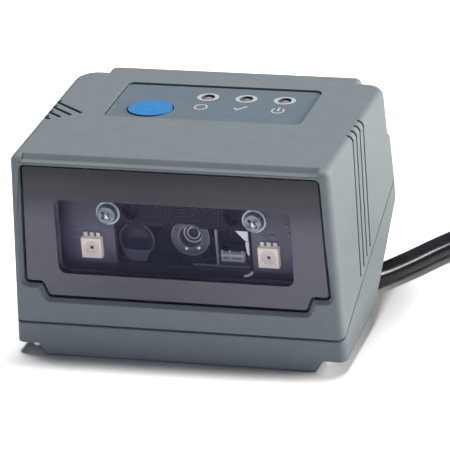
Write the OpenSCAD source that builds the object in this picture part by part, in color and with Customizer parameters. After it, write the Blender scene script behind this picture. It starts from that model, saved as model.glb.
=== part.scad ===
// Fixed barcode reader: a two-shell moulded housing with a tinted window, a top label with a
// push key and indicators, the optics behind the window, and a cable that ends in a plug.
// X is the width, Y runs from the window to the back, Z is up from the pad that it stands on.

/* [Housing] */
// Width of the base, measured at the height of the pad
body_w = 82; // [78:0.2:90]
// Depth from the foot of the front to the back
body_d = 60; // [58:0.5:70]
// Height of the top above the pad
body_h = 50.5; // [49:0.5:60]
// Thickness of the housing walls
wall = 2.2; // [1.8:0.1:2.4]
// Lean of the front and side walls, in degrees
draft = 2.1; // [1:0.1:2.5]
// Radius of the upright front corners
front_corner_r = 1.8; // [1.8:0.1:5]
// Radius of the upright back corners
rear_corner_r = 5.4; // [3:0.1:6]
// Radius of the rounded top edges
top_edge_r = 1.6; // [1.4:0.1:1.8]
// Setback of the upper back corners from the back
shoulder_back = 3.7; // [3.4:0.1:6]
// Setback of the lower back corners from the back
low_back = 1.7; // [1.4:0.1:3.2]
// Height at which the lower back corners stop
low_back_z = 38.4; // [36:0.2:42]
// Width of the middle of the back, between the corners
bump_w = 64.5; // [60:0.5:68]
// Radius of the upright edges of the middle of the back
bump_r = 2.2; // [1.8:0.1:4]

/* [Parting line] */
// Height of the parting line at the foot of the front
part_z = 7.8; // [7:0.1:9]
// Slope of the parting line towards the back, in degrees
part_tilt = 19.1; // [17:0.1:20]
// Open line between the two shells
part_gap = 0.55; // [0.3:0.05:0.6]
// Step by which the upper shell stands out past the base
base_step = 0.05; // [0:0.05:0.4]
// Height of the locating lip of the base inside the upper shell
lip_h = 1.6; // [1:0.1:2]
// Thickness of the locating lip
lip_t = 1; // [0.8:0.1:1.2]
// Clearance round the locating lip
lip_clear = 0.15; // [0.1:0.05:0.2]

/* [Base] */
// Lift of the side edges above the pad, at the front
side_lift = 2.8; // [2:0.1:3.5]
// Slope of the side edges, in degrees
side_rise = 4; // [2:0.5:5]
// Distance from the front to where the underside turns up
bend_d = 27; // [24:0.5:30]
// Slope of the underside behind that, in degrees
under_tilt = 33; // [31:0.5:34]
// Width of the pad at the bottom
pad_w = 67; // [64:0.5:70]
// Flare of each long edge of the pad
pad_flare = 1.8; // [1:0.1:2]
// Depth of the pad from the front
pad_d = 34.6; // [33:0.1:36]

/* [Window] */
// Distance from the top of the housing to the top of the panel
window_drop = 2.25; // [2:0.05:2.5]
// Height of the window panel
window_h = 33.25; // [32.5:0.05:34]
// Distance from the sides of the housing to the panel
window_side = 2.7; // [2:0.1:3.2]
// Depth of the panel's face below the front
window_recess = 0.9; // [0.5:0.1:1.2]
// Thickness of the panel
panel_t = 2; // [1.5:0.1:2.5]
// Open line round the panel
panel_gap = 0.35; // [0.2:0.05:0.5]
// Radius of the panel's corners
panel_r = 1; // [0.6:0.1:1.2]
// Width of the notch in each lower corner of the panel
notch_w = 4.2; // [3:0.1:5]
// Height of the notches
notch_h = 3.5; // [3:0.1:4]
// Slant of the inner side of the notches
notch_slant = 1.4; // [0.5:0.1:2]
// Width of the clear zone of the window
clear_w = 58.2; // [54:0.2:60]
// Distance from the top of the housing to the clear zone
clear_drop = 10.7; // [10:0.1:11.5]
// Height of the clear zone
clear_h = 18.8; // [18:0.1:19.5]
// Radius of the clear zone's corners
clear_r = 2; // [1:0.1:3]
// Thickness of the gasket behind the panel
gasket_t = 0.5; // [0.3:0.1:0.8]
// Thickness of the ledge that the gasket sits on
ledge_t = 1.6; // [1.2:0.1:2]
// Width of the bevel along the lower edge of the window recess
lip_bevel = 1; // [0.6:0.1:1.2]
// Depth of the low ledge above the window, front to back
brow_d = 1.8; // [1.4:0.1:2]
// Drop of the ledge's front edge below the top of the housing
brow_drop = 1.35; // [1.1:0.05:1.4]
// Rise of the ledge from front to back
brow_rise = 0.15; // [0.1:0.05:0.2]
// Depth of the slope behind the ledge, front to back
brow_slope = 0.9; // [0.7:0.1:1.2]

/* [Grooves] */
// Number of grooves on each side
groove_n = 4; // [3:1:5]
// Spacing of the grooves
groove_step = 3.1; // [2.8:0.1:3.4]
// Width of the grooves
groove_w = 0.8; // [0.4:0.05:0.9]
// Depth of the grooves
groove_depth = 0.6; // [0.3:0.05:0.7]
// Length of the cut that takes each groove over the rounded top edge
groove_wrap = 2.6; // [2.2:0.1:3]
// Lean of the grooves, in degrees
groove_lean = 8.6; // [5:0.1:12]
// Distance from the front to the top of the first groove
groove_front = 23.6; // [20:0.2:26]
// Height of the lower ends of the grooves above the parting line
groove_foot = 2.4; // [2:0.1:4]
// Angle of the grooves that run on across the left of the top, in degrees
top_groove_angle = 36; // [30:1:42]
// Length of the shortest groove on the top
top_groove_len = 3; // [2:0.5:4]
// Increase in length from one groove on the top to the next
top_groove_more = 2.7; // [2:0.1:3.2]

/* [Label and key] */
// Width of the label recess in the top
label_w = 49.4; // [46:0.2:50]
// Depth of the label recess, front to back
label_d = 21.2; // [20:0.2:22]
// Distance from the front to the label recess
label_front = 28.6; // [28:0.2:30]
// Depth of the label recess below the top
label_recess = 0.9; // [0.7:0.1:1]
// Thickness of the label
label_t = 0.5; // [0.3:0.05:0.6]
// Open line round the label
label_gap = 0.3; // [0.2:0.05:0.5]
// Radius of the label recess corners
label_r = 1.8; // [1:0.1:2.4]
// Width of the oval key
key_w = 11; // [10:0.2:13]
// Depth of the oval key, front to back
key_d = 9.4; // [8:0.2:10]
// Place of the key across the housing
key_x = -14.5; // [-15.5:0.1:-13]
// Distance from the front of the label recess to the key
key_in = 6.4; // [5.5:0.1:7]
// Height of the key above the label
key_proud = 0.25; // [0.1:0.05:0.4]
// Clearance round the key
key_clear = 0.3; // [0.25:0.05:0.4]
// Width of the key's flange outside its hole
key_flange = 0.8; // [0.6:0.1:1.2]
// Thickness of the key's flange
key_flange_t = 0.8; // [0.6:0.1:1]
// Travel of the key
key_travel = 0.3; // [0.2:0.05:0.4]
// Place of the first indicator across the housing
pipe_x = -2.5; // [-3.5:0.1:-1.5]
// Spacing of the three indicators
pipe_step = 9.65; // [9:0.05:10]
// Distance from the front of the label recess to the indicators
pipe_in = 15; // [14:0.1:16]
// Diameter of the light pipes
pipe_d = 2.8; // [2.4:0.1:3.2]
// Clearance round the light pipes
pipe_clear = 0.15; // [0.1:0.05:0.2]

/* [Boards] */
// Thickness of the circuit boards
board_t = 1.6; // [1:0.1:2]
// Length of the posts that carry the key board below the top wall
key_post = 4.7; // [4.5:0.1:6]
// Clearance between the key board and the screw bosses
board_clear = 0.8; // [0.4:0.1:1.5]
// Radius of the posts that carry the key board
post_r = 2.5; // [2.2:0.1:2.6]
// Distance from those posts to the edges of the board
post_edge = 0.5; // [0.3:0.1:1]
// Side of the square tact switch
switch_w = 6; // [5:0.1:6.5]
// Height of the tact switch body
switch_h = 2.6; // [2.4:0.1:2.8]
// Diameter of the switch plunger
plunger_d = 3.2; // [2.8:0.1:3.6]
// Distance from the front to the illumination board
board_back = 9.2; // [8.8:0.1:10]
// Width of the illumination board
light_board_w = 66; // [64:0.5:68]
// Distance from the top of the housing to the illumination board
light_board_drop = 8.5; // [8:0.1:9]
// Height of the illumination board
light_board_h = 24.5; // [24:0.1:25.5]
// Width of the opening in the illumination board
optics_w = 34; // [33.6:0.1:35]
// Height of that opening
optics_h = 19.5; // [19.2:0.1:19.8]
// Width of the board above that opening
optics_rim = 2; // [1.6:0.1:2.4]
// Side of the square illumination LEDs
led_w = 5; // [4.5:0.1:5.4]
// Thickness of the illumination LEDs
led_t = 1.6; // [1.2:0.1:1.8]
// Distance between the illumination LEDs
led_span = 43.9; // [43:0.1:46]
// Offset of the pair of LEDs from the middle
led_shift = -0.65; // [-1:0.05:0]
// Distance from the top of the board to the illumination LEDs
led_drop = 16.9; // [16:0.1:17.5]
// Distance between the board screws
screw_span = 36.2; // [35.8:0.1:38]
// Distance from the top of the board to its screws
screw_drop = 8; // [7:0.1:8.5]
// Diameter of the board screws
screw_d = 2.5; // [2:0.1:2.6]
// Depth of the screws in the posts that they hold
screw_bite = 4; // [3:0.1:4.2]
// Diameter of the screw heads
head_d = 4.3; // [4:0.1:4.8]
// Height of the screw heads
head_h = 1.5; // [1.2:0.1:1.8]
// Diameter of the small screws
small_screw_d = 2; // [1.8:0.1:2]
// Diameter of the heads of the small screws
small_head_d = 3.8; // [3.6:0.1:4]
// Diameter of the washers
washer_d = 5.9; // [5.4:0.1:6]
// Thickness of the washers
washer_t = 0.5; // [0.4:0.1:0.6]

/* [Optics] */
// Distance from the front to the faces of the barrels
optics_back = 11.7; // [11.4:0.1:12]
// Distance from the front to the plate that carries the barrels
plate_back = 17.5; // [17:0.1:18]
// Thickness of the chassis plate
plate_t = 3; // [2.6:0.1:3.4]
// Width of the chassis plate
plate_w = 44; // [42:0.5:46]
// Height of the chassis bar above the optics
bar_h = 8.8; // [8.6:0.1:9]
// Diameter of the two round holes in the chassis bar
eye_d = 4.4; // [4:0.1:4.8]
// Distance between those holes
eye_span = 25; // [24:0.1:26]
// Diameter of the imager barrel
imager_d = 9.6; // [9:0.1:10]
// Place of the imager across the housing
imager_x = 1.1; // [0.6:0.1:1.5]
// Distance from the top of the board to the imager's axis
imager_drop = 14.4; // [14.2:0.1:14.8]
// Diameter of the imager lens
lens_d = 5.2; // [4.6:0.1:5.8]
// Thickness of the lenses
lens_t = 1.6; // [1.2:0.1:2]
// Depth of the imager lens behind the face of its barrel
lens_in = 2.6; // [2:0.1:3]
// Diameter of the aimer barrel
aimer_d = 8.8; // [8.4:0.1:9]
// Place of the aimer barrel across the housing
aimer_x = -12.4; // [-12.5:0.1:-12]
// Distance from the top of the board to the aimer barrel's axis
aimer_drop = 15.8; // [15.6:0.1:16]
// Place of the left side of the prism holder
holder_x0 = 7.4; // [7.2:0.1:7.8]
// Width of the prism holder
holder_w = 8.4; // [8:0.1:8.6]
// Wall of the prism holder
holder_wall = 0.8; // [0.6:0.1:1]
// Height of the prism
prism_h = 3.6; // [3:0.1:5]
// Length of the spacers between the chassis and the decode board
spacer = 6.5; // [6:0.1:7]
// Width of the decode board
decode_w = 48; // [46:0.5:50]
// Width of the sensor board
sensor_board_w = 16; // [14:0.5:17]
// Side of the image sensor
sensor_w = 7; // [6:0.1:7.4]
// Side of the processor
chip_w = 12; // [10:0.5:13]
// Diameter of the beeper
beeper_d = 9; // [8:0.2:10]
// Width of the cable connector
connector_w = 12; // [10:0.5:13]

/* [Fasteners and mounts] */
// Distance between the case screws across the housing
case_span = 61; // [60:0.2:62]
// Distance from the front to the front case screws
case_front = 18; // [17.5:0.1:19]
// Distance from the front to the back case screws
case_rear = 47; // [45:0.2:48]
// Diameter of the case screws
case_d = 2.9; // [2.5:0.1:3]
// Diameter of the screw bosses
boss_d = 6.4; // [6:0.1:7]
// Depth of the case screws in the upper shell
case_bite = 8; // [6:0.5:10]
// Distance between the mounting inserts
insert_span = 50; // [46:0.5:52]
// Distance from the front to the mounting inserts
insert_front = 11; // [10:0.1:12]
// Length of the mounting inserts
insert_len = 5.8; // [5:0.1:6]
// Outside diameter of the mounting inserts
insert_d = 4.6; // [4.2:0.1:5]
// Core diameter of the thread in the inserts
thread_d = 2.5; // [2.4:0.05:3.3]

/* [Cable] */
// Diameter of the cable
cable_d = 5.8; // [5:0.1:6]
// Distance from the side of the base to the cable outlet
outlet_side = 17; // [16:0.1:18]
// Distance from the front to the cable outlet
outlet_front = 31.5; // [31:0.1:32]
// Direction of the cable outlet, in degrees from the X axis
outlet_angle = 52; // [48:1:56]
// Distance from the outlet wall to the end of the gland
gland_len = 12; // [10:0.5:14]
// Diameter of the gland at the wall
gland_d = 7.8; // [7.4:0.1:8]
// Number of turns of the coil side by side
coil_cols = 5; // [4:1:6]
// Number of turns of the coil on top of each other
coil_rows = 2; // [1:1:3]
// Width of the tie round the coil
tie_w = 6; // [4:0.5:8]
// Thickness of the tie
tie_t = 0.8; // [0.6:0.1:1]
// Clearance between the tie and the coil
tie_clear = 0.3; // [0.25:0.05:0.4]
// Width of the plug
plug_w = 15; // [14:0.2:17]
// Height of the plug
plug_h = 9; // [8:0.1:9.2]
// Length of the plug's grip
plug_len = 26; // [22:0.5:27]
// Width of the plug's metal shell
shell_w = 12; // [11.5:0.1:12.4]
// Height of the plug's metal shell
shell_h = 4.5; // [4.2:0.1:4.8]
// Length of the plug's metal shell
shell_len = 18.6; // [16:0.2:18.8]

/* [Hidden] */
$fn = 48;
hull_fn = 32;
big = 200;
inner_r = 0.4;
touch = 0.05;
front = -body_d / 2;
back = body_d / 2;
bend_y = front + bend_d;
bend_z = side_lift + bend_d * tan(side_rise);
window_z1 = body_h - window_drop;
window_z0 = window_z1 - window_h;
clear_z1 = body_h - clear_drop;
clear_z0 = clear_z1 - clear_h;
panel_in = window_recess - base_step;
gasket_in = panel_in + panel_t;
ledge_in = gasket_in + gasket_t;
ledge_back = ledge_in + ledge_t;
label_y = front + label_front;
label_z = body_h - label_recess;
label_top = label_z + label_t;
roof_z = body_h - wall;
key_y = label_y + key_in;
key_seat = 0.2;
flange_z = roof_z - key_seat - key_flange_t;
pipe_y = label_y + pipe_in;
collar = 0.8;
key_board_z = roof_z - key_post - board_t;
key_board_top = roof_z - key_post;
key_front = key_y - key_d / 2 - 2 * key_clear - key_flange;
key_board_y0 = key_front - 2 * post_r - post_edge;
key_board_y1 = label_y + label_d + post_edge;
key_board_w = case_span - boss_d - 2 * board_clear;
post_x = key_board_w / 2 - post_r - post_edge;
post_y = [key_board_y0 + post_edge + post_r, key_board_y1 - post_edge - post_r];
light_y = front + board_back;
light_board_z1 = body_h - light_board_drop;
light_board_z0 = light_board_z1 - light_board_h;
optics_z1 = light_board_z1 - optics_rim;
optics_z0 = optics_z1 - optics_h;
led_z = light_board_z1 - led_drop;
screw_z = light_board_z1 - screw_drop;
bar_z0 = optics_z1 - 0.2 - bar_h;
imager_z = light_board_z1 - imager_drop;
aimer_z = light_board_z1 - aimer_drop;
plate_y = front + plate_back;
plate_rear = plate_y + plate_t;
barrel_y = front + optics_back;
decode_y = plate_rear + spacer;
chassis_top = light_board_z1 - 0.5;
chassis_z0 = light_board_z0 - 1;
spacer_x = plate_w / 2 - 3.5;
sensor_t = 1.2;
decode_z0 = chassis_z0 - 2.5;
decode_z1 = key_board_z - head_h - board_clear / 2;
spacer_z = [chassis_z0 + 3.5, decode_z1 - 2.5];
chip_x = 2;
chip_drop = 2.5;
beeper_h = 4;
floor_z = wall;
leg_w = 6;
case_x = case_span / 2;
case_y = [front + case_front, front + case_rear];
head_wall = 2.6;
case_head_d = 5.2;
outlet = [body_w / 2 - outlet_side, front + outlet_front, gland_d / 2 + 0.4];
outlet_dir = [cos(outlet_angle), sin(outlet_angle), 0];
gland_end = outlet + gland_len * outlet_dir;
gland_flange = 1.6;
cable_grip = 4;
coil_r = 6 * cable_d;
coil_w = coil_cols * cable_d;
coil_h = coil_rows * cable_d;
coil_edge = coil_r + coil_w / 2;
coil_at = [gland_end.x + coil_edge + 5 * cable_d, gland_end.y + 8.5, tie_t + tie_clear];
tie_angle = -45;
floor_run = cable_d / 2;
top_run = coil_at.z + (coil_rows - 0.5) * cable_d;
plug_z = plug_h / 2 + 0.1;
plug_at = [coil_at.x + coil_edge + plug_w / 2, coil_at.y - 5.5, plug_z];
// Points that the cable passes through on its way to the coil
cable_route = [
    gland_end - cable_grip * outlet_dir,
    gland_end,
    [gland_end.x + 2.6, gland_end.y + 3.5, floor_run + 0.7],
    [gland_end.x + 5.6, gland_end.y + 8, floor_run + 0.1],
    [gland_end.x + 10.6, gland_end.y + 16, floor_run],
    [gland_end.x + 15.2, gland_end.y + 24, floor_run],
    [gland_end.x + 20.2, gland_end.y + 31, floor_run + 0.2],
    [gland_end.x + 26.4, gland_end.y + 36.7, floor_run + 0.3],
    [gland_end.x + 33.4, gland_end.y + 41.4, floor_run + 0.5],
    [gland_end.x + 41.1, gland_end.y + 45.2, floor_run + 0.6],
    [gland_end.x + 49.3, gland_end.y + 48.3, floor_run + 0.8],
    [gland_end.x + 57.7, gland_end.y + 51, floor_run + 0.9],
    [gland_end.x + 66.3, gland_end.y + 53.3, floor_run + 1.1]
];
// Points that the end of the cable passes through from the coil to the plug
tail_route = [
    [plug_at.x - 37.7, coil_at.y + 40.9, top_run],
    [plug_at.x - 29.9, coil_at.y + 37.2, top_run],
    [plug_at.x - 22.1, coil_at.y + 33.6, top_run - 0.2],
    [plug_at.x - 13.7, coil_at.y + 28.2, top_run - 0.9],
    [plug_at.x - 6.2, coil_at.y + 19.7, top_run - 2.6],
    [plug_at.x - 1.5, coil_at.y + 9.5, top_run - 4.3],
    [plug_at.x, coil_at.y - 1.1, plug_z],
    plug_at,
    plug_at + [0, -cable_grip, 0]
];

// Half the width of the base at a height
function half_w(z) = body_w / 2 - z * tan(draft);

// Place of the front of the base at a height
function front_y(z) = front + z * tan(draft);

// Height of the parting line at a place between front and back
function part_at(y) = part_z + (y - front) * tan(part_tilt);

// Height of the slanting underside at a place between front and back
function under_at(y) = bend_z + (y - bend_y) * tan(under_tilt);

// Half the width of the window panel at a height
function panel_half(z) = half_w(z) - window_side;

// Outline of an oval
function oval(w, d) = [for (a = [0:7.5:352.5]) [w / 2 * cos(a), d / 2 * sin(a)]];

// Flat shape with rounded corners, about the middle
module rounded(w, d, r) {
    square([w, d - 2 * r], center = true);
    square([w - 2 * r, d], center = true);
    for (x = [-1, 1], y = [-1, 1])
        translate([x * (w / 2 - r), y * (d / 2 - r)])
            circle(r);
}

// Puck with a rounded upper edge, for the top corners of a housing form
module cap(r, edge) {
    arc = [for (a = [0:15:90]) [r - edge + edge * cos(a), edge * sin(a)]];
    rotate_extrude($fn = hull_fn)
        polygon(concat([[0, 0]], arc, [[0, edge]]));
}

// Leaning block with rounded corners and top edges, inset on all sides
module form(inset, top, rear) {
    rf = max(front_corner_r - inset, inner_r);
    rr = max(rear_corner_r - inset, inner_r);
    edge = max(top_edge_r - max(inset, 0), inner_r / 2);
    hull()
        for (s = [-1, 1]) {
            translate([s * (half_w(0) - inset - rf), front_y(0) + inset + rf, 0])
                cylinder(r = rf, h = 1, $fn = hull_fn);
            translate([s * (half_w(0) - inset - rr), rear - inset - rr, 0])
                cylinder(r = rr, h = 1, $fn = hull_fn);
            translate([s * (half_w(top) - inset - rf), front_y(top) + inset + rf, top - edge])
                cap(rf, edge);
            translate([s * (half_w(top) - inset - rr), rear - inset - rr, top - edge])
                cap(rr, edge);
        }
}

// Middle of the back, which stands out behind the corners
module back_bump(inset, top) {
    r = max(bump_r - inset, inner_r);
    edge = max(top_edge_r - max(inset, 0), inner_r / 2);
    hull()
        for (s = [-1, 1], y = [0, back - inset - r]) {
            translate([s * (bump_w / 2 - inset - r), y, 0])
                cylinder(r = r, h = 1, $fn = hull_fn);
            translate([s * (bump_w / 2 - inset - r), y, top - edge])
                cap(r, min(edge, r));
        }
}

// Everything below the parting plane, raised by a distance
module below_parting(raise) {
    translate([0, front, part_z + raise])
        rotate([part_tilt, 0, 0])
            translate([-big, -big, -2 * big])
                cube(2 * big);
}

// Moves to the front: X across, Y into the housing, Z up along the leaning wall
module on_front() {
    translate([0, front, 0])
        rotate([-draft, 0, 0])
            children();
}

// Extrudes a flat shape from one depth behind the front to another
module front_extrude(from, to) {
    on_front()
        translate([0, to, 0])
            rotate([90, 0, 0])
                linear_extrude(to - from)
                    children();
}

// Corners of the window panel from the middle of its foot round to the left
function window_corners() =
    let (step = window_z0 + notch_h, low = panel_half(step), high = panel_half(window_z1))
    let (right = [
        [low - notch_w - notch_slant, window_z0], [low - notch_w, step], [low, step],
        [high, window_z1]
    ])
    concat(right, [for (i = [3:-1:0]) [-right[i].x, right[i].y]]);

// Square to the way from one point to the next, outwards
function outward(a, b) = [b.y - a.y, a.x - b.x] / norm(b - a);

// Points round one corner, grown by a distance; an inner corner closes as an outer one opens
function corner_arc(a, b, c, grow) =
    let (m = outward(a, b), n = outward(b, c), side = sign(m.x * n.y - m.y * n.x))
    let (r = max(panel_r + side * grow, panel_r / 10))
    let (middle = b - (side * r - grow) * (m + n) / (1 + m * n))
    let (from = atan2(m.y, m.x), turn = side * acos(m * n))
    [for (i = [0:6]) middle + side * r * [cos(from + turn * i / 6), sin(from + turn * i / 6)]];

// Outline of the panel, grown by one distance along its foot and by another along its top
function window_points(foot, top) =
    let (p = window_corners(), n = len(p))
    [for (i = [0:n - 1]) each
        corner_arc(p[(i + n - 1) % n], p[i], p[(i + 1) % n], i == 3 || i == 4 ? top : foot)];

// Flat shape of the window panel, grown by a distance
module window_outline(grow) {
    polygon(window_points(grow, grow));
}

// Outline of the clear zone of the window, grown by a distance
module clear_outline(grow) {
    translate([0, (clear_z0 + clear_z1) / 2])
        rounded(clear_w + 2 * grow, clear_z1 - clear_z0 + 2 * grow, clear_r + grow);
}

// Flared mouth of the window recess: a bevel along the foot that runs out towards the top
module window_bevel() {
    inner = window_points(panel_gap - touch, panel_gap - touch);
    outer = window_points(panel_gap + 2 * lip_bevel, panel_gap + touch);
    n = len(inner);
    middle = (window_z0 + window_z1) / 2;
    out = -window_recess - base_step;
    points = concat(
        [for (q = inner) [q.x, panel_in, q.y]],
        [for (q = outer) [q.x, out, q.y]],
        [[0, panel_in, middle], [0, out, middle]]
    );
    faces = [
        for (i = [0:n - 1])
            let (k = (i + 1) % n)
            each [[i, i + n, k + n], [i, k + n, k], [2 * n, i, k], [2 * n + 1, k + n, i + n]]
    ];
    on_front()
        polyhedron(points, faces);
}

// Low ledge above the window and the slope behind it
module brow_cut() {
    w = panel_half(body_h);
    y = front_y(body_h) - base_step;
    z = body_h - brow_drop;
    translate([-w, 0, 0])
        rotate([90, 0, 90])
            linear_extrude(2 * w)
                polygon([
                    [y - 2, z], [y, z], [y + brow_d, z + brow_rise],
                    [y + brow_d + brow_slope, body_h + touch], [y + brow_d + brow_slope, body_h + 2],
                    [y - 2, body_h + 2]
                ]);
}

// Recess, ledge opening and bevels of the window
module window_cut() {
    front_extrude(-3, ledge_in)
        window_outline(panel_gap);
    front_extrude(0, ledge_back + 1)
        clear_outline(panel_gap);
    window_bevel();
    brow_cut();
}

// Grooves down one side, and where they run on across the top
module side_grooves(shift) {
    for (i = [0:groove_n - 1]) {
        y = front + groove_front + shift + i * groove_step;
        foot = part_at(y - (body_h - part_at(y)) * tan(groove_lean)) + groove_foot;
        length = (body_h - foot) / cos(groove_lean);
        translate([half_w(body_h) + base_step, y, body_h]) {
            rotate([-groove_lean, 0, 0])
                rotate([0, -draft, 0])
                    translate([-groove_depth, -groove_w / 2, -length])
                        cube([5, groove_w, length + 2]);
            rotate([0, -45, 0])
                translate([-groove_depth - (sqrt(2) - 1) * top_edge_r, -groove_w / 2, -groove_wrap / 2])
                    cube([5, groove_w, groove_wrap]);
        }
    }
}

module top_grooves(shift) {
    for (i = [0:groove_n - 1]) {
        y = front + groove_front + shift + i * groove_step;
        length = top_groove_len + i * top_groove_more;
        translate([-half_w(body_h), y, body_h - groove_depth])
            rotate([0, 0, -top_groove_angle])
                translate([0, -groove_w / 2, 0])
                    cube([length, groove_w, 2]);
    }
}

// Recess for the label, key hole and holes for the light pipes
module label_cut() {
    translate([0, label_y + label_d / 2, label_z])
        linear_extrude(2)
            rounded(label_w, label_d, label_r);
    translate([key_x, key_y, roof_z - 1])
        linear_extrude(4)
            polygon(oval(key_w + 2 * key_clear, key_d + 2 * key_clear));
    for (i = [0:2])
        translate([pipe_x + i * pipe_step, pipe_y, roof_z - 1])
            cylinder(d = pipe_d + 2 * pipe_clear, h = 4);
}

// Places of the four case screws
module at_case_screws() {
    for (s = [-1, 1], y = case_y)
        translate([s * case_x, y, 0])
            children();
}

// Places of the four posts of the key board
module at_key_posts() {
    for (s = [-1, 1], y = post_y)
        translate([s * post_x, y, 0])
            children();
}

module upper_housing() {
    color("slategray")
        difference() {
            union() {
                difference() {
                    union() {
                        form(-base_step, body_h, back - shoulder_back);
                        form(-base_step, low_back_z, back - low_back);
                        back_bump(0.25 - base_step, body_h);
                    }
                    difference() {
                        union() {
                            form(wall, roof_z, back - shoulder_back);
                            back_bump(wall, roof_z);
                        }
                        on_front()
                            translate([-big, 0, window_z0 - 3])
                                cube([2 * big, ledge_back, big]);
                    }
                    below_parting(part_gap);
                    intersection() {
                        form(wall - lip_t - lip_clear, low_back_z, back - shoulder_back);
                        below_parting(lip_h + 2 * lip_clear);
                    }
                }
                difference() {
                    at_case_screws()
                        cylinder(d = boss_d, h = roof_z + touch);
                    below_parting(0);
                }
                at_key_posts()
                    translate([0, 0, key_board_top])
                        cylinder(r = post_r, h = key_post + touch);
            }
            window_cut();
            label_cut();
            side_grooves(0);
            mirror([1, 0, 0])
                side_grooves(groove_step);
            top_grooves(groove_step);
            for (s = [-1, 1], y = case_y)
                translate([s * case_x, y, 0])
                    cylinder(d = case_d + 2 * touch, h = part_at(y) + case_bite + 1);
            at_key_posts()
                translate([0, 0, key_board_top - 1])
                    cylinder(d = small_screw_d + 2 * touch, h = key_post);
        }
}

// Region above the slanting underside, raised by a distance square to it
module above_underside(raise) {
    lift = raise / cos(under_tilt);
    rotate([90, 0, 90])
        translate([0, 0, -big / 2])
            linear_extrude(big)
                polygon([
                    [front - 10, side_lift - 10 * tan(side_rise) + raise],
                    [bend_y, bend_z + raise],
                    [back + 10, under_at(back + 10) + lift],
                    [back + 10, big],
                    [front - 10, big]
                ]);
}

// Pad under the front half, inset on its sides
module pad(inset, bottom) {
    w = pad_w / 2 - inset;
    difference() {
        translate([0, front + pad_d - inset, 0])
            rotate([90, 0, 0])
                linear_extrude(pad_d + 10)
                    polygon([
                        [-w, bottom], [w, bottom],
                        [w + pad_flare, bottom + side_lift], [w + pad_flare, part_at(bend_y)],
                        [-w - pad_flare, part_at(bend_y)], [-w - pad_flare, bottom + side_lift]
                    ]);
        translate(outlet)
            rotate([0, 0, outlet_angle])
                translate([-inset, -big / 2, -big / 2])
                    cube(big);
    }
}

module base_housing() {
    color("slategray")
        difference() {
            union() {
                difference() {
                    intersection() {
                        union() {
                            form(0, low_back_z + 5, back - low_back);
                            back_bump(0, low_back_z + 5);
                        }
                        union() {
                            above_underside(0);
                            pad(0, 0);
                        }
                        below_parting(0);
                    }
                    intersection() {
                        form(wall, low_back_z + 5, back - shoulder_back);
                        union() {
                            above_underside(wall);
                            pad(wall, floor_z);
                        }
                    }
                }
                intersection() {
                    difference() {
                        form(wall - lip_t, low_back_z + 5, back - shoulder_back);
                        form(wall, low_back_z + 5, back - shoulder_back);
                        below_parting(-1);
                    }
                    below_parting(lip_h);
                }
                intersection() {
                    at_case_screws()
                        cylinder(d = boss_d, h = body_h);
                    union() {
                        above_underside(0);
                        pad(0, 0);
                    }
                    below_parting(0);
                }
                for (s = [-1, 1])
                    translate([s * insert_span / 2, front + insert_front, floor_z - touch])
                        cylinder(d = insert_d + 2 * wall, h = insert_len);
            }
            for (s = [-1, 1])
                translate([s * insert_span / 2, front + insert_front, -1])
                    cylinder(d = insert_d + 2 * touch, h = insert_len + 1.3);
            for (s = [-1, 1], y = case_y)
                translate([s * case_x, y, -1]) {
                    cylinder(d = case_d + 0.4, h = body_h);
                    cylinder(d = case_head_d + 0.4, h = part_at(y) - head_wall + 1);
                }
            translate(outlet)
                rotate([0, 0, outlet_angle])
                    rotate([0, 90, 0]) {
                        translate([0, 0, -wall - 3])
                            cylinder(d = cable_d + 1.2, h = wall + 6);
                        cylinder(d = gland_d + 0.6, h = gland_len);
                    }
        }
}

module window_panel() {
    color([0.25, 0.22, 0.3, 0.6])
        front_extrude(panel_in, gasket_in)
            window_outline(0);
}

module window_gasket() {
    color("dimgray")
        front_extrude(gasket_in, ledge_in)
            difference() {
                window_outline(-panel_gap);
                clear_outline(0);
            }
}

module overlay_label() {
    color("lightslategray")
        difference() {
            translate([0, label_y + label_d / 2, label_z])
                linear_extrude(label_t)
                    rounded(label_w - 2 * label_gap, label_d - 2 * label_gap, label_r - label_gap);
            translate([key_x, key_y, label_z - 1])
                linear_extrude(3)
                    polygon(oval(key_w + 2 * key_clear, key_d + 2 * key_clear));
            for (i = [0:2])
                translate([pipe_x + i * pipe_step, pipe_y, label_z - 1])
                    cylinder(d = pipe_d + 2 * pipe_clear, h = 3);
        }
}

module push_key() {
    flange = 2 * (key_clear + key_flange);
    color("royalblue")
        translate([key_x, key_y, 0]) {
            translate([0, 0, flange_z])
                linear_extrude(key_flange_t)
                    polygon(oval(key_w + flange, key_d + flange));
            translate([0, 0, flange_z])
                linear_extrude(label_top + key_proud - flange_z)
                    polygon(oval(key_w, key_d));
        }
}

module switch_plunger() {
    color("black")
        translate([key_x, key_y, key_board_top + switch_h - 1])
            cylinder(d = plunger_d, h = flange_z - key_board_top - switch_h + 1);
}

module tact_switch() {
    color("gainsboro")
        difference() {
            translate([key_x - switch_w / 2, key_y - switch_w / 2, key_board_top])
                cube([switch_w, switch_w, switch_h]);
            translate([key_x, key_y, key_board_top + switch_h - 1 - key_travel - key_seat])
                cylinder(d = plunger_d + 2 * key_clear, h = switch_h);
        }
}

module key_board() {
    color("darkgreen")
        difference() {
            translate([-key_board_w / 2, key_board_y0, key_board_z])
                cube([key_board_w, key_board_y1 - key_board_y0, board_t]);
            at_key_posts()
                translate([0, 0, key_board_z - 1])
                    cylinder(d = small_screw_d + 0.2, h = board_t + 2);
        }
}

// Screw with a round head and a cross recess, pointing up, with the underside of its head at zero
module screw(d, head, height, length) {
    slot = [head * 0.62, head * 0.16, height];
    difference() {
        translate([0, 0, -height])
            cylinder(d = head, h = height);
        for (a = [45, 135])
            rotate([0, 0, a])
                translate([-slot.x / 2, -slot.y / 2, -1.5 * height])
                    cube(slot);
    }
    translate([0, 0, -touch])
        cylinder(d = d, h = length + touch);
}

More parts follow.
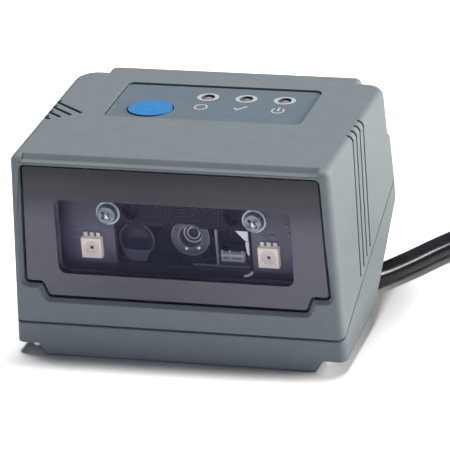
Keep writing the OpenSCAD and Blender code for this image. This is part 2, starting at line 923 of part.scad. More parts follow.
module key_board_screws() {
    color("silver")
        at_key_posts()
            translate([0, 0, key_board_z])
                screw(small_screw_d, small_head_d, head_h, board_t + key_post - 1.5);
}

module light_pipes() {
    color("white")
        for (i = [0:2])
            translate([pipe_x + i * pipe_step, pipe_y, 0]) {
                translate([0, 0, key_board_top + 1.2])
                    cylinder(d = pipe_d, h = label_z - key_board_top - 1.2);
                translate([0, 0, roof_z - collar])
                    cylinder(d = pipe_d + 2 * collar, h = collar);
            }
}

module status_leds() {
    color("lightyellow")
        for (i = [0:2])
            translate([pipe_x + i * pipe_step - 1, pipe_y - 0.7, key_board_top])
                cube([2, 1.4, 0.9]);
}

module illumination_board() {
    color("midnightblue")
        difference() {
            translate([-light_board_w / 2, light_y, light_board_z0])
                cube([light_board_w, board_t, light_board_z1 - light_board_z0]);
            translate([-optics_w / 2, light_y - 1, optics_z0])
                cube([optics_w, board_t + 2, optics_z1 - optics_z0]);
            for (s = [-1, 1])
                translate([s * screw_span / 2, light_y - 1, screw_z])
                    rotate([-90, 0, 0])
                        cylinder(d = screw_d + 0.2, h = board_t + 2);
        }
}

// Square LED package with a round well in its face
module led(x) {
    color("ivory")
        translate([x, light_y - led_t, led_z])
            difference() {
                translate([-led_w / 2, 0, -led_w / 2])
                    cube([led_w, led_t, led_w]);
                rotate([90, 0, 0])
                    translate([0, 0, -0.6])
                        cylinder(d1 = led_w * 0.64, d2 = led_w * 0.8, h = 0.7);
            }
}

module illumination_led_left() {
    led(led_shift - led_span / 2);
}

module illumination_led_right() {
    led(led_shift + led_span / 2);
}

module board_screws() {
    color("silver")
        for (s = [-1, 1])
            translate([s * screw_span / 2, light_y - washer_t, screw_z])
                rotate([-90, 0, 0])
                    screw(screw_d, head_d, head_h, washer_t + board_t + screw_bite);
}

module board_washers() {
    color("white")
        for (s = [-1, 1])
            translate([s * screw_span / 2, light_y, screw_z])
                rotate([90, 0, 0])
                    difference() {
                        cylinder(d = washer_d, h = washer_t);
                        translate([0, 0, -1])
                            cylinder(d = screw_d + 0.2, h = washer_t + 2);
                    }
}

module optics_chassis() {
    bar_w = optics_w - 0.4;
    color([0.08, 0.08, 0.1])
        difference() {
            union() {
                translate([-plate_w / 2, plate_y, chassis_z0])
                    cube([plate_w, plate_t, chassis_top - chassis_z0]);
                translate([-bar_w / 2, light_y, bar_z0])
                    cube([bar_w, plate_y - light_y + touch, optics_z1 - 0.2 - bar_z0]);
                translate([-bar_w / 2, light_y + board_t + 0.2, chassis_z0])
                    cube([bar_w, plate_back - board_back - board_t, optics_z0 - 0.6 - chassis_z0]);
                for (s = [-1, 1])
                    translate([s * screw_span / 2, light_y + board_t, screw_z])
                        rotate([-90, 0, 0])
                            cylinder(d = 6, h = plate_y - light_y - board_t + touch);
                for (s = [-1, 1])
                    translate([s * (plate_w / 2 - leg_w / 2) - leg_w / 2, plate_y, floor_z])
                        cube([leg_w, plate_t, chassis_z0 - floor_z + touch]);
                for (s = [-1, 1], z = spacer_z)
                    translate([s * spacer_x, plate_rear - touch, z])
                        rotate([-90, 0, 0])
                            cylinder(d = 4.6, h = spacer + touch);
                translate([imager_x - imager_d / 4, barrel_y, chassis_z0])
                    cube([imager_d / 2, plate_y - barrel_y, imager_z - chassis_z0]);
            }
            for (s = [-1, 1]) {
                translate([s * screw_span / 2, light_y, screw_z])
                    rotate([-90, 0, 0])
                        cylinder(d = screw_d + 2 * touch, h = board_t + screw_bite + 1);
                translate([s * eye_span / 2, light_y - 1, screw_z + 0.5])
                    rotate([-90, 0, 0])
                        cylinder(d = eye_d, h = 4);
            }
            translate([imager_x, barrel_y - 3, imager_z])
                rotate([-90, 0, 0])
                    cylinder(d = imager_d + 2 * touch, h = plate_y - barrel_y + 3);
            translate([imager_x, plate_y - 1, imager_z])
                rotate([-90, 0, 0])
                    cylinder(d = lens_d - 1, h = plate_t + 2);
            translate([imager_x - sensor_w / 2 - 0.2, plate_rear - sensor_t, imager_z - sensor_w / 2 - 0.2])
                cube([sensor_w + 0.4, sensor_t + 1, sensor_w + 0.4]);
            for (s = [-1, 1], z = spacer_z)
                translate([s * spacer_x, decode_y - screw_bite - 1, z])
                    rotate([-90, 0, 0])
                        cylinder(d = small_screw_d + 2 * touch, h = screw_bite + 2);
        }
}

module imager_barrel() {
    color("dimgray")
        translate([imager_x, barrel_y, imager_z])
            rotate([-90, 0, 0])
                difference() {
                    cylinder(d = imager_d, h = plate_y - barrel_y);
                    translate([0, 0, -1])
                        cylinder(d = lens_d + 2 * touch, h = lens_in + lens_t + 1);
                    translate([0, 0, 1])
                        cylinder(d = lens_d - 1, h = plate_y - barrel_y);
                }
}

module imager_lens() {
    color([0.3, 0.35, 0.5, 0.7])
        translate([imager_x, barrel_y + lens_in, imager_z])
            rotate([-90, 0, 0])
                cylinder(d = lens_d, h = lens_t);
}

module sensor_board() {
    w = sensor_board_w;
    color("darkgreen")
        translate([imager_x - w / 2, plate_rear, imager_z - w / 2 + 1])
            cube([w, sensor_t, w - 2]);
}

module image_sensor() {
    color("black")
        translate([imager_x - sensor_w / 2, plate_rear - sensor_t + 0.2, imager_z - sensor_w / 2])
            cube([sensor_w, sensor_t - 0.2, sensor_w]);
}

module aimer_barrel() {
    color([0.12, 0.12, 0.15])
        translate([aimer_x, barrel_y, aimer_z])
            rotate([-90, 0, 0])
                difference() {
                    cylinder(d = aimer_d, h = plate_y - barrel_y);
                    translate([0, 0, -1])
                        cylinder(d = aimer_d - 2, h = 2);
                    translate([0, 0, 1 - touch])
                        cylinder(d = aimer_d - 3.4, h = lens_t + 0.1);
                }
}

module aimer_lens() {
    color([0.2, 0.2, 0.3, 0.7])
        translate([aimer_x, barrel_y + 1, aimer_z])
            rotate([-90, 0, 0])
                cylinder(d = aimer_d - 3.4 - 2 * touch, h = lens_t);
}

module prism_holder() {
    z0 = optics_z0 - 0.6;
    h = bar_z0 - z0 - 0.3;
    color("gray")
        translate([holder_x0, barrel_y, z0])
            difference() {
                cube([holder_w, plate_y - barrel_y, h]);
                translate([holder_wall, -1, holder_wall])
                    cube([holder_w - 2 * holder_wall, plate_back - optics_back - 0.2, h - 2 * holder_wall]);
            }
}

module aimer_prism() {
    z0 = optics_z0 - 0.6 + holder_wall;
    depth = plate_back - optics_back - 1.4;
    color([0.8, 0.85, 0.9, 0.6])
        translate([holder_x0 + holder_wall + 0.1, barrel_y, z0])
            rotate([90, 0, 90])
                linear_extrude(holder_w - 2 * holder_wall - 0.2)
                    polygon([[0, 0], [depth, 0], [depth, prism_h], [depth * 0.55, prism_h], [0, prism_h * 0.45]]);
}

module decode_board() {
    color("darkgreen")
        difference() {
            translate([-decode_w / 2, decode_y, decode_z0])
                cube([decode_w, board_t, decode_z1 - decode_z0]);
            for (s = [-1, 1], z = spacer_z)
                translate([s * spacer_x, decode_y - 1, z])
                    rotate([-90, 0, 0])
                        cylinder(d = small_screw_d + 0.3, h = board_t + 2);
        }
}

module decode_screws() {
    color("silver")
        for (s = [-1, 1], z = spacer_z)
            translate([s * spacer_x, decode_y + board_t, z])
                rotate([90, 0, 0])
                    screw(small_screw_d, small_head_d, head_h, board_t + screw_bite);
}

module processor_chip() {
    color("black")
        translate([chip_x, decode_y + board_t, decode_z1 - chip_w - chip_drop])
            cube([chip_w, 1.2, chip_w]);
}

module beeper() {
    color([0.1, 0.1, 0.1])
        translate([-beeper_d, decode_y + board_t, decode_z1 - chip_drop - chip_w + 1])
            rotate([-90, 0, 0])
                difference() {
                    cylinder(d = beeper_d, h = beeper_h);
                    translate([0, 0, beeper_h - 1])
                        cylinder(d = 1.6, h = 2);
                }
}

module cable_connector() {
    color("ivory")
        translate([chip_x, decode_y + board_t, decode_z0 + 1.5])
            difference() {
                cube([connector_w, 4.5, 5]);
                translate([1, 1, -1])
                    cube([connector_w - 2, 2.6, 5]);
            }
}

module case_screws() {
    color("silver")
        for (s = [-1, 1], y = case_y)
            translate([s * case_x, y, part_at(y) - head_wall])
                screw(case_d, case_head_d, 2, head_wall + case_bite);
}

module mount_inserts() {
    color("goldenrod")
        for (s = [-1, 1])
            translate([s * insert_span / 2, front + insert_front, 0.1])
                difference() {
                    cylinder(d = insert_d, h = insert_len);
                    translate([0, 0, -1])
                        cylinder(d = thread_d, h = insert_len + 2);
                }
}

module cable_gland() {
    neck = cable_d + 1;
    color([0.08, 0.08, 0.09])
        translate(outlet)
            rotate([0, 0, outlet_angle])
                rotate([0, 90, 0])
                    difference() {
                        union() {
                            translate([0, 0, -wall - gland_flange - 0.1])
                                difference() {
                                    cylinder(d = gland_d, h = gland_flange);
                                    translate([outlet.z - floor_z - 0.1, -big / 2, -1])
                                        cube([big, big, gland_flange + 2]);
                                }
                            translate([0, 0, -wall - gland_flange])
                                cylinder(d = neck, h = wall + gland_flange + 0.2);
                            translate([0, 0, 0.1])
                                cylinder(d1 = gland_d, d2 = cable_d + 1, h = gland_len - 0.1);
                        }
                        translate([0, 0, gland_len - cable_grip])
                            cylinder(d = cable_d + 2 * touch, h = cable_grip + 1);
                    }
}

// Points of a ring of the cable, square to the way that it runs
function ring(at, along, r, sides) =
    let (side = cross(along, [0, 0, 1]), u = side / norm(side), v = cross(u, along) / norm(along))
    [for (i = [0:sides - 1]) at + r * cos(360 * i / sides) * u + r * sin(360 * i / sides) * v];

// Smooth curve through the points of a route
function curve(p, i, t) =
    let (n = len(p) - 1, a = p[max(i - 1, 0)], b = p[i], c = p[i + 1], d = p[min(i + 2, n)])
    0.5 * (2 * b + (c - a) * t + (2 * a - 5 * b + 4 * c - d) * t * t
        + (3 * b - a - 3 * c + d) * t * t * t);

// Points along a route, a few to each stretch
function along_route(p, steps) =
    concat([for (i = [0:len(p) - 2], k = [0:steps - 1]) curve(p, i, k / steps)], [p[len(p) - 1]]);

// Round tube along a route
module tube(route, d, sides) {
    p = along_route(route, 2);
    n = len(p) - 1;
    points = [
        for (i = [0:n])
            each ring(p[i], p[min(i + 1, n)] - p[max(i - 1, 0)], d / 2, sides)
    ];
    walls = [
        for (i = [0:n - 1], k = [0:sides - 1])
            let (m = (k + 1) % sides)
            [i * sides + k, (i + 1) * sides + k, (i + 1) * sides + m, i * sides + m]
    ];
    first = [for (k = [0:sides - 1]) k];
    last = [for (k = [sides - 1:-1:0]) n * sides + k];
    polyhedron(points, concat(walls, [first, last]));
}

module cable() {
    color([0.06, 0.06, 0.08])
        tube(cable_route, cable_d, 12);
}

module cable_tail() {
    color([0.06, 0.06, 0.08])
        tube(tail_route, cable_d, 12);
}

// Cross-section of the coil, about the middle of its turns
module coil_section(grow) {
    translate([coil_r, coil_h / 2])
        rounded(coil_w + 2 * grow, coil_h + 2 * grow, cable_d / 2);
}

module cable_coil() {
    color([0.06, 0.06, 0.08])
        translate(coil_at)
            rotate_extrude($fn = 96)
                coil_section(0);
}

module coil_tie() {
    color("black")
        translate(coil_at)
            rotate([0, 0, tie_angle])
                translate([0, tie_w / 2, 0])
                    rotate([90, 0, 0])
                        linear_extrude(tie_w)
                            difference() {
                                coil_section(tie_clear + tie_t);
                                coil_section(tie_clear);
                            }
}

module plug_grip() {
    color([0.07, 0.07, 0.09])
        translate(plug_at)
            rotate([90, 0, 0])
                difference() {
                    union() {
                        translate([0, 0, 4])
                            linear_extrude(plug_len - 4)
                                rounded(plug_w, plug_h, 2);
                        cylinder(d1 = cable_d + 1.4, d2 = plug_h - 0.6, h = 4 + touch);
                    }
                    translate([0, 0, -1])
                        cylinder(d = cable_d + 2 * touch, h = cable_grip + 1 + touch);
                    translate([0, 0, plug_len - 3])
                        linear_extrude(4)
                            square([shell_w + 0.1, shell_h + 0.1], center = true);
                }
}

module plug_shell() {
    color("silver")
        translate(plug_at)
            rotate([90, 0, 0])
                translate([0, 0, plug_len - 3])
                    linear_extrude(shell_len + 3)
                        difference() {
                            square([shell_w, shell_h], center = true);
                            square([shell_w - 0.8, shell_h - 0.8], center = true);
                        }
}

module plug_tongue() {
    color("white")
        translate(plug_at)
            rotate([90, 0, 0])
                translate([-shell_w / 2 + 0.5, 0, plug_len - 3])
                    cube([shell_w - 1, shell_h / 2 - 0.5, shell_len + 2]);
}

upper_housing();
base_housing();
window_panel();
window_gasket();
overlay_label();
push_key();
switch_plunger();
tact_switch();
key_board();
key_board_screws();
light_pipes();
status_leds();
illumination_board();
illumination_led_left();
illumination_led_right();
board_screws();
board_washers();
optics_chassis();
imager_barrel();
imager_lens();
image_sensor();
sensor_board();
aimer_barrel();
aimer_lens();
prism_holder();
aimer_prism();
decode_board();
decode_screws();
processor_chip();
beeper();
cable_connector();
case_screws();
mount_inserts();
cable_gland();
cable();
cable_coil();
coil_tie();
cable_tail();
plug_grip();
plug_shell();
plug_tongue();
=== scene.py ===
import math

import bmesh
import bpy
from mathutils import Matrix, Vector


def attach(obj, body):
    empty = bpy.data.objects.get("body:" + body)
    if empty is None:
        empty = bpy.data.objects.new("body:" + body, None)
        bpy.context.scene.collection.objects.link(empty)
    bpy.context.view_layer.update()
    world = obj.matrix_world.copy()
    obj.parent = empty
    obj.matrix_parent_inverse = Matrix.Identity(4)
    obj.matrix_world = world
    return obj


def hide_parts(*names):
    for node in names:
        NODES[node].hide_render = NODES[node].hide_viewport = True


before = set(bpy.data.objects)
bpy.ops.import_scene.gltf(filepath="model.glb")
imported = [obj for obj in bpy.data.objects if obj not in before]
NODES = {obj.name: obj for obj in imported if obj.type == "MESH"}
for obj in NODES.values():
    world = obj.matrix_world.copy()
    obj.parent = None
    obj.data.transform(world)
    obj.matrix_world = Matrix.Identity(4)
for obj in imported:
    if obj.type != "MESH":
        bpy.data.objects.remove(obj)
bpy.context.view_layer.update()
MM = 0.001


def mm(*xyz):
    """A point given in millimetres."""
    return Vector(xyz) * MM


def extent(name):
    """The two corners of a node's box, in millimetres, to a hundredth."""
    item = NODES[name]
    points = [item.matrix_world @ v.co / MM for v in item.data.vertices]
    return [Vector([round(pick(p[i] for p in points), 2) for i in range(3)]) for pick in (min, max)]


def centre(name):
    """The middle of a node's box, in millimetres."""
    low, high = extent(name)
    return (low + high) / 2


# Camera, fitted to the photograph

PICTURE_PX = 450
FOCAL_PX = 4300
SHIFT_PX = (11, 88)
SENSOR = 36
CAMERA_PLACE = mm(304.6, -898.2, 442.5)
AZIMUTH, ELEVATION, ROLL = (math.radians(d) for d in (18.78, 25.06, 4.61))

back = Vector((math.sin(AZIMUTH) * math.cos(ELEVATION), -math.cos(AZIMUTH) * math.cos(ELEVATION),
               math.sin(ELEVATION)))
level = Vector((math.cos(AZIMUTH), math.sin(AZIMUTH), 0))
upright = back.cross(level)
right = level * math.cos(ROLL) - upright * math.sin(ROLL)
up = level * math.sin(ROLL) + upright * math.cos(ROLL)
aim = (right * SHIFT_PX[0] + up * SHIFT_PX[1] - back * FOCAL_PX).normalized()
right = (right - aim * right.dot(aim)).normalized()
up = right.cross(aim)
turn = Matrix((right, up, -aim)).transposed().to_4x4()
camera_data = bpy.data.cameras.new("camera")
camera_data.lens = FOCAL_PX * SENSOR / PICTURE_PX
camera_data.sensor_width = SENSOR
camera_data.clip_start = 0.01
camera_data.clip_end = 50
camera = bpy.data.objects.new("camera", camera_data)
camera.matrix_world = Matrix.Translation(CAMERA_PLACE) @ turn
bpy.context.scene.collection.objects.link(camera)
bpy.context.scene.camera = camera
bpy.context.scene.view_settings.view_transform = "Standard"


# Materials

NOISE_LOW, NOISE_HIGH = 0.3, 0.7
CREVICE_SHADE_POWER = 1.3


def shader(name):
    """A new material with its node tree and its shader."""
    m = bpy.data.materials.new(name)
    m.use_nodes = True
    return m, m.node_tree, m.node_tree.nodes["Principled BSDF"]


def node(tree, kind, **values):
    """A new node; names of its inputs are given with underscores for spaces."""
    n = tree.nodes.new("ShaderNode" + kind)
    for key, value in values.items():
        socket = n.inputs.get(key.replace("_", " "))
        if socket is not None:
            socket.default_value = value
        else:
            setattr(n, key, value)
    return n


def grain(tree, scale, detail=2.0):
    """Noise over the object's own coordinates; scale is in features per metre."""
    place = node(tree, "TexCoord")
    noise = node(tree, "TexNoise", Scale=scale, Detail=detail, Roughness=0.55)
    tree.links.new(place.outputs["Object"], noise.inputs["Vector"])
    return noise


def mixed(tree, factor, a, b):
    """A colour between two others."""
    ramp = node(tree, "ValToRGB")
    for element, position, colour in zip(ramp.color_ramp.elements, (NOISE_LOW, NOISE_HIGH), (a, b)):
        element.position = position
        element.color = (*colour, 1)
    tree.links.new(factor, ramp.inputs["Fac"])
    return ramp.outputs["Color"]


def ranged(tree, factor, low, high):
    """A number between two others."""
    r = node(tree, "MapRange", From_Min=NOISE_LOW, From_Max=NOISE_HIGH, To_Min=low, To_Max=high)
    tree.links.new(factor, r.inputs["Value"])
    return r.outputs["Result"]


def scaled(tree, colour, factor):
    """A colour times a number."""
    dim = node(tree, "VectorMath", operation="SCALE")
    tree.links.new(colour, dim.inputs[0])
    tree.links.new(factor, dim.inputs["Scale"])
    return dim.outputs["Vector"]


def finish(name, a, b, scale, rough, bump=0.0, depth=2e-5, edge=0.0, fine=None, painted_crevice_shade=0.0, **values):
    """A procedural finish: two close colours, a roughness range, a fine bump, soft edges, and painted shade
    that darkens crevices.
    """
    m, tree, bsdf = shader(name)
    cloud = grain(tree, scale)
    speck = grain(tree, fine or scale * 6, 3.0)
    colour = mixed(tree, cloud.outputs["Fac"], a, b)
    # Painted shade: the colour is darkened where other surfaces are near, in crevices, gaps and grooves.
    if painted_crevice_shade:
        near = node(tree, "AmbientOcclusion", Distance=painted_crevice_shade, samples=8)
        painted_shade_factor = node(tree, "Math", operation="POWER")
        painted_shade_factor.inputs[1].default_value = CREVICE_SHADE_POWER
        tree.links.new(near.outputs["AO"], painted_shade_factor.inputs[0])
        colour = scaled(tree, colour, painted_shade_factor.outputs[0])
    tree.links.new(colour, bsdf.inputs["Base Color"])
    tree.links.new(ranged(tree, speck.outputs["Fac"], *rough), bsdf.inputs["Roughness"])
    normal = None
    if edge:
        normal = node(tree, "Bevel", Radius=edge, samples=6).outputs["Normal"]
    if bump:
        relief = node(tree, "Bump", Strength=bump, Distance=depth)
        tree.links.new(speck.outputs["Fac"], relief.inputs["Height"])
        if normal is not None:
            tree.links.new(normal, relief.inputs["Normal"])
        normal = relief.outputs["Normal"]
    if normal is not None:
        tree.links.new(normal, bsdf.inputs["Normal"])
    for key, value in values.items():
        bsdf.inputs[key.replace("_", " ")].default_value = value
    return m


# The two housing shells get painted shade in their crevices and along the parting gap.
housing = finish("housing_grey", (0.112, 0.131, 0.142), (0.122, 0.141, 0.153), scale=260,
                 rough=(0.52, 0.64), bump=0.16, depth=3e-5, edge=0.0005, fine=5200, painted_crevice_shade=0.0003,
                 Specular_IOR_Level=0.2)
base_grey = finish("base_grey", (0.106, 0.124, 0.136), (0.115, 0.133, 0.146), scale=260, rough=(0.52, 0.64),
                   bump=0.16, depth=3e-5, edge=0.0008, fine=5200, painted_crevice_shade=0.0003, Specular_IOR_Level=0.2)
window = finish("window_tint", (0.046, 0.048, 0.094), (0.052, 0.054, 0.1), scale=120, rough=(0.03, 0.05),
                Alpha=0.17, Specular_IOR_Level=0.09)
gasket = finish("gasket_foam", (0.2, 0.19, 0.25), (0.24, 0.23, 0.29), scale=700, rough=(0.75, 0.9),
                bump=0.2, depth=2e-5)
border = finish("window_print", (0.082, 0.083, 0.104), (0.09, 0.091, 0.113), scale=400, rough=(0.35, 0.45),
                bump=0.1, depth=1e-5, Specular_IOR_Level=0.25)
film = finish("label_film", (0.083, 0.108, 0.13), (0.092, 0.117, 0.139), scale=300, rough=(0.55, 0.65),
              bump=0.12, depth=2e-5, edge=0.00015, fine=6000, Specular_IOR_Level=0.12)
blue = finish("key_blue", (0.023, 0.128, 0.305), (0.031, 0.146, 0.335), scale=500, rough=(0.5, 0.6),
              bump=0.1, depth=2e-5, edge=0.0002, fine=6000, Specular_IOR_Level=0.15)
ink = finish("white_ink", (0.25, 0.28, 0.28), (0.33, 0.36, 0.36), scale=2500, rough=(0.45, 0.6), bump=0.1,
             depth=1e-5)
black = finish("black_plastic", (0.005, 0.005, 0.009), (0.008, 0.008, 0.014), scale=400, rough=(0.44, 0.52),
               bump=0.05, depth=1e-5, fine=7000, Specular_IOR_Level=0.2)
ivory = finish("switch_body", (0.6, 0.56, 0.48), (0.68, 0.64, 0.55), scale=500, rough=(0.4, 0.5), bump=0.1,
               depth=2e-5, edge=0.0002)
mask = finish("circuit_board", (0.13, 0.121, 0.17), (0.16, 0.149, 0.205), scale=900, rough=(0.25, 0.4),
              bump=0.2, depth=2e-5)
steel = finish("screw_steel", (0.5, 0.53, 0.58), (0.66, 0.68, 0.72), scale=1500, rough=(0.18, 0.32),
               bump=0.15, depth=1e-5, edge=0.00015, Metallic=1.0)
head_steel = finish("screw_head", (0.17, 0.21, 0.23), (0.34, 0.39, 0.42), scale=1300, rough=(0.12, 0.26),
                    bump=0.4, depth=3e-5, edge=0.0003, Metallic=1.0)
zinc = finish("washer_zinc", (0.6, 0.72, 0.76), (0.7, 0.81, 0.85), scale=1500, rough=(0.25, 0.4), bump=0.12,
              depth=1e-5, edge=0.00015, Metallic=0.3)
clear = finish("clear_plastic", (0.88, 0.9, 0.94), (0.93, 0.95, 0.98), scale=200, rough=(0.03, 0.08),
               IOR=1.49, Transmission_Weight=0.9)
# Painted light: the LED packages glow weakly, which stands in for light falling on them behind the tinted
# window.
package_glow = finish("led_package", (0.84, 0.77, 0.71), (0.91, 0.84, 0.78), scale=900, rough=(0.35, 0.5),
                 bump=0.1, depth=1e-5, Emission_Color=(1.0, 0.84, 0.7, 1.0), Emission_Strength=0.34)
barrel = finish("barrel_metal", (0.1, 0.102, 0.122), (0.135, 0.138, 0.16), scale=900, rough=(0.28, 0.42),
                bump=0.15, depth=1e-5, edge=0.0002, Metallic=0.5)
lens = finish("lens_glass", (0.012, 0.012, 0.03), (0.02, 0.018, 0.045), scale=300, rough=(0.02, 0.05),
              Coat_Weight=0.2, Coat_Roughness=0.02, Specular_IOR_Level=0.2)
epoxy = finish("chip_epoxy", (0.015, 0.015, 0.018), (0.025, 0.025, 0.028), scale=1500, rough=(0.5, 0.65),
               bump=0.2, depth=2e-5)
brass = finish("insert_brass", (0.6, 0.42, 0.16), (0.7, 0.5, 0.2), scale=1500, rough=(0.22, 0.36),
               bump=0.12, depth=1e-5, edge=0.0002, Metallic=1.0)
jacket = finish("cable_jacket", (0.009, 0.009, 0.013), (0.014, 0.014, 0.019), scale=350, rough=(0.17, 0.24),
                bump=0.03, depth=2e-5, fine=2600, Specular_IOR_Level=0.3)
strap = finish("tie_strap", (0.012, 0.012, 0.013), (0.03, 0.03, 0.032), scale=2200, rough=(0.7, 0.9),
               bump=0.5, depth=1e-4, edge=0.0002)
grip = finish("plug_plastic", (0.013, 0.013, 0.017), (0.02, 0.02, 0.025), scale=400, rough=(0.42, 0.56),
              bump=0.2, depth=3e-5, edge=0.0004, fine=4200)
plated = finish("plug_steel", (0.13, 0.135, 0.145), (0.17, 0.175, 0.185), scale=900, rough=(0.4, 0.5),
                bump=0.1, depth=1e-5, edge=0.0002, Metallic=0.7)
gold = finish("contact_gold", (0.75, 0.52, 0.16), (0.82, 0.6, 0.22), scale=2000, rough=(0.2, 0.32),
              bump=0.1, depth=1e-5, Metallic=1.0)
stud = finish("stud_steel", (0.7, 0.72, 0.74), (0.8, 0.82, 0.84), scale=900, rough=(0.2, 0.3), bump=0.1,
              depth=1e-5, Metallic=0.2)
rosy = finish("indicator_dome", (0.2, 0.15, 0.145), (0.26, 0.2, 0.19), scale=900, rough=(0.08, 0.15),
              Coat_Weight=0.5)
rim = finish("optics_rim", (0.16, 0.175, 0.21), (0.21, 0.225, 0.26), scale=900, rough=(0.3, 0.42),
             bump=0.15, depth=1e-5, edge=0.0001)
rim_dark = finish("optics_rim_dark", (0.11, 0.11, 0.14), (0.14, 0.14, 0.17), scale=900, rough=(0.3, 0.42),
                  bump=0.15, depth=1e-5, edge=0.0001)
plate = finish("prism_plate", (0.34, 0.35, 0.39), (0.44, 0.45, 0.49), scale=900, rough=(0.3, 0.42),
               bump=0.15, depth=1e-5, edge=0.0001)
# Painted glints: a glow of its own makes the screw flecks, pins, prism mirror and clip stand in for
# highlights.
glint_glow = finish("optics_painted_glints", (0.8, 0.82, 0.85), (0.9, 0.91, 0.93), scale=900, rough=(0.2, 0.3),
                bump=0.1, depth=1e-5, edge=0.0001, Emission_Color=(0.92, 0.96, 1.0, 1.0),
                Emission_Strength=0.3)
frosted = finish("frosted_prism", (0.8, 0.8, 0.83), (0.92, 0.92, 0.94), scale=1200, rough=(0.25, 0.4),
                 bump=0.2, depth=2e-5, edge=0.0001)
# Painted light: the LED phosphor glows weakly, which stands in for light falling on it behind the tinted
# window.
phosphor_glow = finish("phosphor_glow", (0.6, 0.55, 0.52), (0.68, 0.63, 0.59), scale=1500, rough=(0.3, 0.45),
                  bump=0.1, depth=1e-5, Emission_Color=(1.0, 0.88, 0.8, 1.0), Emission_Strength=0.27)
ring = finish("led_ring", (0.3, 0.25, 0.23), (0.36, 0.3, 0.28), scale=1500, rough=(0.35, 0.5), bump=0.1,
              depth=1e-5)
solder = finish("solder", (0.86, 0.87, 0.88), (0.94, 0.94, 0.95), scale=2500, rough=(0.2, 0.35), bump=0.3,
                depth=2e-5, Metallic=0.3)


def cut_edges(material, normal_axis, colour):
    """The sides of a board that aren't its two faces get the colour of its core."""
    tree = material.node_tree
    bsdf = tree.nodes["Principled BSDF"]
    place = node(tree, "TexCoord")
    split = node(tree, "SeparateXYZ")
    flat_part = node(tree, "Math", operation="ABSOLUTE")
    face = node(tree, "Math", operation="GREATER_THAN")
    face.inputs[1].default_value = 0.5
    mix = node(tree, "Mix", data_type="RGBA")
    core, faces_in = (i for i in mix.inputs if i.type == "RGBA")
    core.default_value = (*colour, 1)
    tree.links.new(place.outputs["Normal"], split.inputs[0])
    tree.links.new(split.outputs[normal_axis], flat_part.inputs[0])
    tree.links.new(flat_part.outputs[0], face.inputs[0])
    tree.links.new(face.outputs[0], mix.inputs[0])
    tree.links.new(bsdf.inputs["Base Color"].links[0].from_socket, faces_in)
    tree.links.new(next(o for o in mix.outputs if o.type == "RGBA"), bsdf.inputs["Base Color"])


def shaded(material, axis, stops):
    """Painted shade: the colour is scaled along one of the object's own axes; stops are (place in metres,
    scale up to 2).
    """
    tree = material.node_tree
    bsdf = tree.nodes["Principled BSDF"]
    place = node(tree, "TexCoord")
    split = node(tree, "SeparateXYZ")
    low, high = stops[0][0], stops[-1][0]
    along = node(tree, "MapRange", From_Min=low, From_Max=high)
    ramp = node(tree, "ValToRGB")
    ramp.color_ramp.interpolation = "EASE"
    while len(ramp.color_ramp.elements) < len(stops):
        ramp.color_ramp.elements.new(0.5)
    for element, (at, scale) in zip(ramp.color_ramp.elements, stops):
        element.position = (at - low) / (high - low)
        element.color = (scale / 2, scale / 2, scale / 2, 1)
    double = node(tree, "Math", operation="MULTIPLY")
    double.inputs[1].default_value = 2.0
    tree.links.new(place.outputs["Object"], split.inputs[0])
    tree.links.new(split.outputs[axis], along.inputs["Value"])
    tree.links.new(along.outputs["Result"], ramp.inputs["Fac"])
    tree.links.new(ramp.outputs["Color"], double.inputs[0])
    colour = scaled(tree, bsdf.inputs["Base Color"].links[0].from_socket, double.outputs[0])
    tree.links.new(colour, bsdf.inputs["Base Color"])


BOARD_CORE = (0.2, 0.12, 0.06)
# Painted shade: the lamp board is darker towards its top, and the window print is darker towards its top and
# across its middle.
BOARD_PAINTED_SHADE_UP = ((0.018, 1.05), (0.027, 1.0), (0.037, 0.4))
BORDER_PAINTED_SHADE_UP = ((0.014, 0.94), (0.033, 1.0), (0.042, 0.4), (0.049, 0.1))
BORDER_PAINTED_SHADE_ACROSS = ((-0.038, 1.0), (-0.008, 0.72), (0.026, 0.98), (0.038, 1.03))
cut_edges(mask, "Y", BOARD_CORE)
shaded(mask, "Z", BOARD_PAINTED_SHADE_UP)
shaded(border, "Z", BORDER_PAINTED_SHADE_UP)
shaded(border, "X", BORDER_PAINTED_SHADE_ACROSS)

MATERIALS = {
    housing: ("upper_housing",),
    base_grey: ("base_housing",),
    window: ("window_panel",),
    gasket: ("window_gasket",),
    film: ("overlay_label",),
    blue: ("push_key",),
    black: ("switch_plunger", "optics_chassis", "aimer_barrel", "prism_holder", "beeper"),
    ivory: ("tact_switch", "cable_connector", "plug_tongue"),
    mask: ("key_board", "illumination_board", "sensor_board", "decode_board"),
    steel: ("key_board_screws", "decode_screws", "case_screws"),
    head_steel: ("board_screws",),
    zinc: ("board_washers",),
    clear: ("light_pipes", "aimer_prism"),
    package_glow: ("status_leds", "illumination_led_left", "illumination_led_right"),
    barrel: ("imager_barrel",),
    lens: ("imager_lens", "aimer_lens"),
    epoxy: ("image_sensor", "processor_chip"),
    brass: ("mount_inserts",),
    jacket: ("cable_gland", "cable", "cable_coil", "cable_tail"),
    strap: ("coil_tie",),
    grip: ("plug_grip",),
    plated: ("plug_shell",),
}
for material, names in MATERIALS.items():
    for name in names:
        data = NODES[name].data
        data.materials.clear()
        data.materials.append(material)


# Cable: places and sizes in millimetres, angles in degrees

